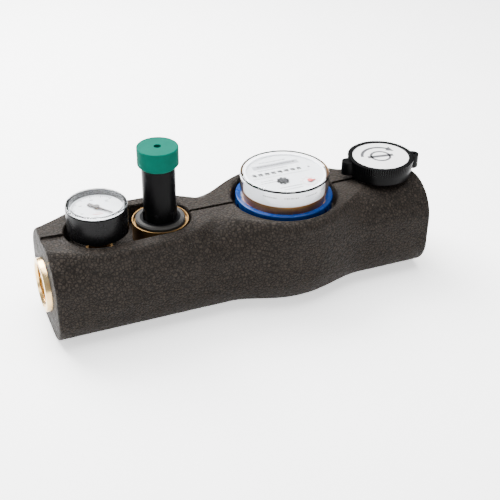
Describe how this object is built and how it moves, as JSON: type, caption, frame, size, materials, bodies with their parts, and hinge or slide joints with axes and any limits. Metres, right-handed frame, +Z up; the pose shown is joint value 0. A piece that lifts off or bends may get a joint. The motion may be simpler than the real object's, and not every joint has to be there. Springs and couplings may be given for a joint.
{
  "type": "in-line water inlet valve manifold",
  "caption": "In-line cold water inlet valve: brass body in a two-half foam jacket, with quarter-turn shut-off knob, water meter, pressure reducer and gauge.",
  "frame": {"origin": "on the floor under the middle of the length, in the parting plane of the jacket", "axes": "+X along the flow axis towards the inlet end with the shut-off knob, +Z up through gauge, meter and knob, -Y the front with the front jacket half"},
  "size_m": [0.308, 0.099, 0.134],
  "materials": {
    "brass": "machined",
    "jacket_foam": "fine moulded bead texture",
    "gauge_black": "gloss",
    "clear_plastic": "clear",
    "dial_white": "printed",
    "pointer_paint": "satin",
    "reducer_black": "satin",
    "ring_grey": "satin",
    "cap_green": "satin",
    "steel": "drawn",
    "rubber": "matt",
    "ring_blue": "gloss",
    "white_plastic": "satin",
    "knob_black": "satin",
    "label_white": "printed",
    "ball_chrome": "polished",
    "seat_white": "waxy",
    "star_grey": "satin",
    "pointer_red": "satin",
    "wheel_black": "printed"
  },
  "bodies": {
    "brasswork": {"brass_body": "brass", "inlet_socket": "brass", "outlet_socket": "brass", "socket_seals": "rubber", "ball_seats": "seat_white", "stem_seal": "rubber", "gland_nut": "brass", "strainer": "steel", "check_cage": "white_plastic", "check_spring": "steel", "gauge_stem": "brass", "gauge_case": "gauge_black", "gauge_lens": "clear_plastic", "gauge_dial": "dial_white", "gauge_movement": "brass", "bourdon_tube": "brass", "reducer_cartridge": "brass", "diaphragm": "rubber", "clamp_ring": "ring_grey", "reducer_housing": "reducer_black", "reducer_spring": "steel", "capsule_cup": "white_plastic", "capsule_lid": "white_plastic", "impeller_pin": "steel", "meter_head": "brass", "meter_ring": "ring_blue", "register_cup": "white_plastic", "wheel_axle": "steel", "meter_dial": "dial_white", "meter_lens": "clear_plastic"},
    "front_shell": {"front_jacket": "jacket_foam"},
    "rear_shell": {"rear_jacket": "jacket_foam"},
    "gauge_hand": {"gauge_pointer": "pointer_paint", "pointer_shaft": "brass"},
    "gauge_sector": {"sector_gear": "brass"},
    "pressure_cap": {"reducer_cap": "cap_green", "adjusting_screw": "steel"},
    "spring_nut": {"spring_plate": "brass"},
    "reducer_spindle": {"valve_spindle": "brass", "valve_disc": "rubber"},
    "check_plunger": {"check_poppet": "white_plastic"},
    "valve_drive": {"isolating_knob": "knob_black", "knob_label": "label_white", "knob_screw": "steel", "valve_stem": "brass", "valve_ball": "ball_chrome"},
    "meter_impeller": {"impeller": "white_plastic"},
    "star_wheel": {"flow_star": "star_grey"},
    "litre_hand": {"litre_pointer": "pointer_red"},
    "counter_1": {"number_wheel_1": "wheel_black"},
    "counter_2": {"number_wheel_2": "wheel_black"},
    "counter_3": {"number_wheel_3": "wheel_black"},
    "counter_4": {"number_wheel_4": "wheel_black"},
    "counter_5": {"number_wheel_5": "wheel_black"},
    "counter_6": {"number_wheel_6": "wheel_black"},
    "counter_7": {"number_wheel_7": "wheel_black"},
    "counter_8": {"number_wheel_8": "wheel_black"}
  },
  "joints": [
    {"name": "front_jacket_pull", "type": "slide", "parent": "brasswork", "child": "front_shell", "axis": [0, -1, 0], "range_m": [0, 0.06]},
    {"name": "rear_jacket_pull", "type": "slide", "parent": "brasswork", "child": "rear_shell", "axis": [0, 1, 0], "range_m": [0, 0.06]},
    {"name": "gauge_pointer_turn", "type": "hinge", "parent": "brasswork", "child": "gauge_hand", "pos_m": [-0.108, 0, 0.092], "axis": [0, 0, -1], "range_deg": [0, 270], "stiffness_Nm_per_rad": 0.0005},
    {"name": "sector_turn", "type": "hinge", "parent": "brasswork", "child": "gauge_sector", "pos_m": [-0.0979, 0, 0.0827], "axis": [0, 0, -1], "range_deg": [-28, 0.5]},
    {"name": "pressure_cap_turn", "type": "hinge", "parent": "brasswork", "child": "pressure_cap", "pos_m": [-0.061, 0, 0.126], "axis": [0, 0, 1], "range_deg": [-720, 720]},
    {"name": "spring_plate_slide", "type": "slide", "parent": "brasswork", "child": "spring_nut", "axis": [0, 0, 1], "range_m": [-0.0031, 0.0031], "deforming": ["reducer_spring"]},
    {"name": "reducer_lift", "type": "slide", "parent": "brasswork", "child": "reducer_spindle", "axis": [0, 0, 1], "range_m": [0, 0.0029], "stiffness_N_per_m": 500, "springref_m": -0.004, "deforming": ["diaphragm"]},
    {"name": "check_valve_slide", "type": "slide", "parent": "brasswork", "child": "check_plunger", "axis": [-1, 0, 0], "range_m": [0, 0.006], "stiffness_N_per_m": 100, "springref_m": -0.01, "deforming": ["check_spring"]},
    {"name": "knob_turn", "type": "hinge", "parent": "brasswork", "child": "valve_drive", "pos_m": [0.122, 0, 0.038], "axis": [0, 0, 1], "range_deg": [-82, 8]},
    {"name": "impeller_spin", "type": "hinge", "parent": "brasswork", "child": "meter_impeller", "pos_m": [0.039, 0, 0.04], "axis": [0, 0, 1], "continuous": true},
    {"name": "star_spin", "type": "hinge", "parent": "brasswork", "child": "star_wheel", "pos_m": [0.033, -0.0105, 0.091], "axis": [0, 0, 1], "continuous": true},
    {"name": "litre_hand_spin", "type": "hinge", "parent": "brasswork", "child": "litre_hand", "pos_m": [0.0522, -0.0174, 0.091], "axis": [0, 0, -1], "continuous": true},
    {"name": "counter_1_spin", "type": "hinge", "parent": "brasswork", "child": "counter_1", "pos_m": [0.05285, 0.004, 0.0866], "axis": [1, 0, 0], "continuous": true},
    {"name": "counter_2_spin", "type": "hinge", "parent": "brasswork", "child": "counter_2", "pos_m": [0.04755, 0.004, 0.0866], "axis": [1, 0, 0], "continuous": true},
    {"name": "counter_3_spin", "type": "hinge", "parent": "brasswork", "child": "counter_3", "pos_m": [0.04225, 0.004, 0.0866], "axis": [1, 0, 0], "continuous": true},
    {"name": "counter_4_spin", "type": "hinge", "parent": "brasswork", "child": "counter_4", "pos_m": [0.03695, 0.004, 0.0866], "axis": [1, 0, 0], "continuous": true},
    {"name": "counter_5_spin", "type": "hinge", "parent": "brasswork", "child": "counter_5", "pos_m": [0.03165, 0.004, 0.0866], "axis": [1, 0, 0], "continuous": true},
    {"name": "counter_6_spin", "type": "hinge", "parent": "brasswork", "child": "counter_6", "pos_m": [0.02635, 0.004, 0.0866], "axis": [1, 0, 0], "continuous": true},
    {"name": "counter_7_spin", "type": "hinge", "parent": "brasswork", "child": "counter_7", "pos_m": [0.02105, 0.004, 0.0866], "axis": [1, 0, 0], "continuous": true},
    {"name": "counter_8_spin", "type": "hinge", "parent": "brasswork", "child": "counter_8", "pos_m": [0.01575, 0.004, 0.0866], "axis": [1, 0, 0], "continuous": true}
  ],
  "couplings": [
    {"joint": "sector_turn", "follows": "gauge_pointer_turn", "ratio": -0.1},
    {"joint": "spring_plate_slide", "follows": "pressure_cap_turn", "m_per_rad": 0.00023873},
    {"joint": "star_spin", "follows": "impeller_spin", "ratio": -0.125},
    {"joint": "litre_hand_spin", "follows": "impeller_spin", "ratio": 0.03125},
    {"joint": "counter_1_spin", "follows": "impeller_spin", "ratio": 0.003125},
    {"joint": "counter_2_spin", "follows": "impeller_spin", "ratio": 0.0003125},
    {"joint": "counter_3_spin", "follows": "impeller_spin", "ratio": 0.00003125},
    {"joint": "counter_4_spin", "follows": "impeller_spin", "ratio": 0.000003125},
    {"joint": "counter_5_spin", "follows": "impeller_spin", "ratio": 0.0000003125},
    {"joint": "counter_6_spin", "follows": "impeller_spin", "ratio": 0.00000003125},
    {"joint": "counter_7_spin", "follows": "impeller_spin", "ratio": 0.000000003125},
    {"joint": "counter_8_spin", "follows": "impeller_spin", "ratio": 0.0000000003125}
  ]
}
